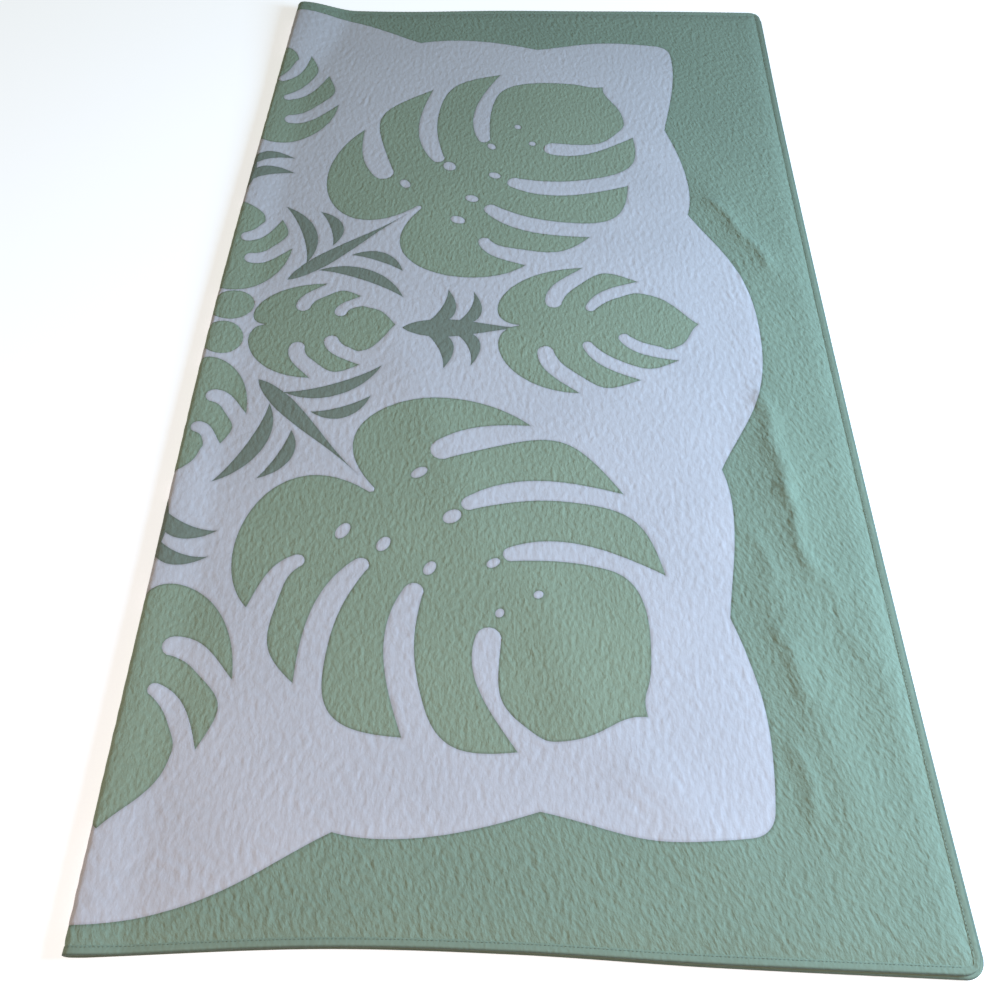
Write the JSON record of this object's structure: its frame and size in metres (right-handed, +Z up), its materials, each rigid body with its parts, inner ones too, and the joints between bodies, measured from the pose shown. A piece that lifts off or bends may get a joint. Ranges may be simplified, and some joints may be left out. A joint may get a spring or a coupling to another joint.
{
  "type": "quilt",
  "caption": "Quilted bed cover with a narrow bound edge, folded once along its length and laid flat, so that it rests as two soft layers with a round fold.",
  "frame": {"origin": "on the floor, under the middle of the folded quilt's bounding box", "axes": "+Z up; +Y along the fold, away from the viewer; +X across the layers, from the fold to the open edges"},
  "size_m": [1.2822, 2.3584, 0.033],
  "materials": {
    "quilt_cloth": "soft quilted cotton, sage green leaf pattern on off-white",
    "binding_cloth": "plain sage green cotton, machine stitched"
  },
  "bodies": {
    "root": {"quilt_panel": "quilt_cloth", "binding_near": "binding_cloth", "binding_far": "binding_cloth", "binding_open_lower": "binding_cloth", "binding_open_upper": "binding_cloth"}
  },
  "joints": []
}
